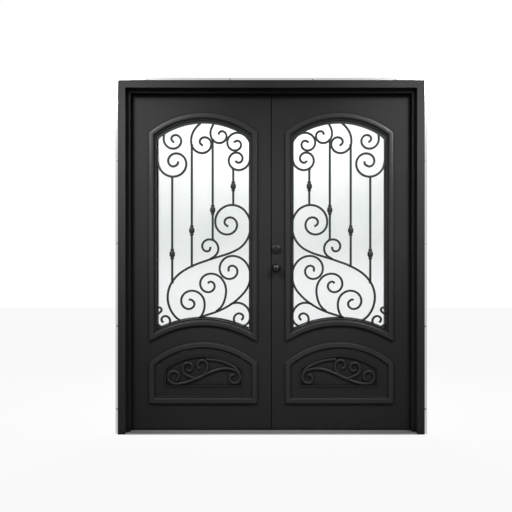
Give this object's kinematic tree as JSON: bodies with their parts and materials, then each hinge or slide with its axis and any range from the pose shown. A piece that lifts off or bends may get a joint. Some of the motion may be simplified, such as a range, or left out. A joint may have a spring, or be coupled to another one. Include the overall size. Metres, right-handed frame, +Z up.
{
  "type": "double wrought iron entry door",
  "caption": "Double entry door: steel frame and threshold, two glazed leaves with scrolled iron grilles, ridge mouldings, arched kick panels, barrel hinges, knob and deadbolt.",
  "frame": {"origin": "middle of the threshold's underside, in the plane of the wall's outer face", "axes": "+X to the right seen from outdoors, +Y indoors, +Z up"},
  "size_m": [1.878, 0.2075, 2.146],
  "materials": {
    "frame_paint": "satin black powder coat",
    "leaf_paint": "satin black powder coat",
    "iron_paint": "satin black paint on forged bar",
    "flange_coat": "pale primer",
    "sill_metal": "satin mill finish",
    "rain_glass": "rain textured",
    "lock_metal": "satin black metal"
  },
  "bodies": {
    "frame": {"left_jamb": "frame_paint", "right_jamb": "frame_paint", "head_jamb": "frame_paint", "left_stop": "frame_paint", "right_stop": "frame_paint", "head_stop": "frame_paint", "threshold": "sill_metal", "left_flange": "flange_coat", "right_flange": "flange_coat", "head_flange": "flange_coat", "left_frame_hinges": "frame_paint", "right_frame_hinges": "frame_paint"},
    "left_leaf": {"left_hinge_stile": "leaf_paint", "left_meeting_stile": "leaf_paint", "left_top_rail": "leaf_paint", "left_lower_panel": "leaf_paint", "left_glass_moulding": "leaf_paint", "left_glass_pane": "rain_glass", "left_glazing_bead": "leaf_paint", "left_kick_moulding": "leaf_paint", "left_inside_kick_moulding": "leaf_paint", "left_kick_panel": "leaf_paint", "left_kick_scrolls": "iron_paint", "left_scroll_grille": "iron_paint", "left_grille_bars": "iron_paint", "left_leaf_hinges": "frame_paint"},
    "right_leaf": {"right_hinge_stile": "leaf_paint", "right_meeting_stile": "leaf_paint", "right_top_rail": "leaf_paint", "right_lower_panel": "leaf_paint", "right_glass_moulding": "leaf_paint", "right_glass_pane": "rain_glass", "right_glazing_bead": "leaf_paint", "right_kick_moulding": "leaf_paint", "right_inside_kick_moulding": "leaf_paint", "right_kick_panel": "leaf_paint", "right_kick_scrolls": "iron_paint", "right_scroll_grille": "iron_paint", "right_grille_bars": "iron_paint", "right_leaf_hinges": "frame_paint", "knob_roses": "lock_metal", "deadbolt": "lock_metal", "thumb_turn": "lock_metal"},
    "knob": {"knob": "lock_metal"}
  },
  "joints": [
    {"name": "left_leaf_swing", "type": "hinge", "parent": "frame", "child": "left_leaf", "pos_m": [-0.8745, 0.134, 1.04], "axis": [0, 0, 1], "range_deg": [0, 105]},
    {"name": "right_leaf_swing", "type": "hinge", "parent": "frame", "child": "right_leaf", "pos_m": [0.8745, 0.134, 1.04], "axis": [0, 0, -1], "range_deg": [0, 105]},
    {"name": "knob_turn", "type": "hinge", "parent": "right_leaf", "child": "knob", "pos_m": [0.03, 0, 1.001], "axis": [0, -1, 0], "range_deg": [-60, 60], "stiffness_Nm_per_rad": 0.8}
  ]
}
